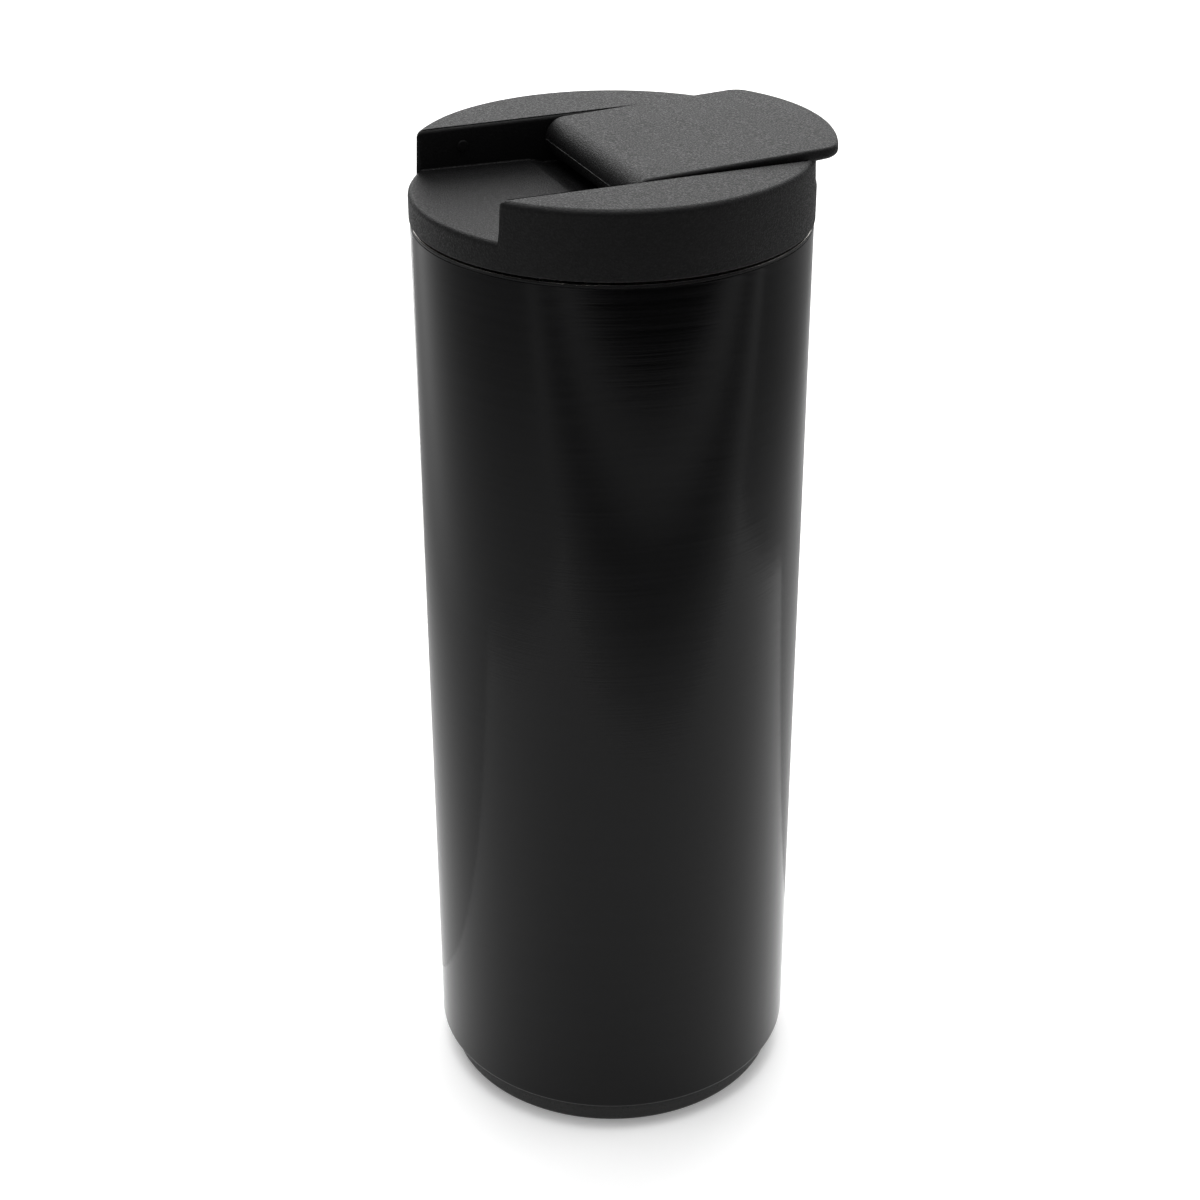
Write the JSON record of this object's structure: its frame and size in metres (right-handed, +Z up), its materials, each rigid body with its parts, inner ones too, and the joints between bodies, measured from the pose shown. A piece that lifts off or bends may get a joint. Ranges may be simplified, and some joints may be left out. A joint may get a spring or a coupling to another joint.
{
  "type": "insulated travel mug",
  "caption": "Tall straight double-walled steel travel mug with a screw-in lid and a flip-over drinking flap set in a channel across the lid.",
  "frame": {"origin": "centre of the underside of the silicone base pad, on the surface the mug stands on", "axes": "+Z up along the mug's axis, +X towards the drinking side and the flap's tip, Y along the flap's hinge pin"},
  "size_m": [0.0768, 0.073, 0.1964],
  "materials": {
    "body_coating": "satin black coating over fine turned brush lines",
    "bare_steel": "satin stainless steel",
    "lid_plastic": "matte black with a fine spark-eroded grain",
    "inner_plastic": "smooth satin black moulding",
    "foot_plastic": "matte black moulding",
    "seal_silicone": "soft grey silicone",
    "pad_silicone": "soft black silicone",
    "pin_steel": "drawn stainless steel rod",
    "getter_metal": "dull pressed metal powder",
    "solder_glass": "melted solder glass"
  },
  "bodies": {
    "mug": {"outer_shell": "body_coating", "inner_liner": "bare_steel", "vacuum_base": "bare_steel", "getter": "getter_metal", "vacuum_seal": "solder_glass", "base_foot": "foot_plastic", "base_pad": "pad_silicone"},
    "seal_ring": {"lid_seal": "seal_silicone"},
    "lid": {"lid_cover": "lid_plastic", "lid_plug": "inner_plastic", "spout_seal": "seal_silicone", "hinge_pin": "pin_steel"},
    "flap": {"flap_top": "lid_plastic", "flap_base": "inner_plastic", "drink_stopper": "seal_silicone", "vent_stopper": "seal_silicone"}
  },
  "joints": [
    {"name": "lid_rise", "type": "slide", "parent": "mug", "child": "seal_ring", "axis": [0, 0, 1], "range_m": [0, 0.01801]},
    {"name": "lid_turn", "type": "hinge", "parent": "seal_ring", "child": "lid", "pos_m": [0, 0, 0.172], "axis": [0, 0, 1], "range_deg": [0, 360]},
    {"name": "flap_hinge", "type": "hinge", "parent": "lid", "child": "flap", "pos_m": [-0.0011, 0, 0.191], "axis": [0, -1, 0], "range_deg": [0, 176.5]}
  ],
  "couplings": [
    {"joint": "lid_rise", "follows": "lid_turn", "m_per_rad": 0.0028648}
  ]
}
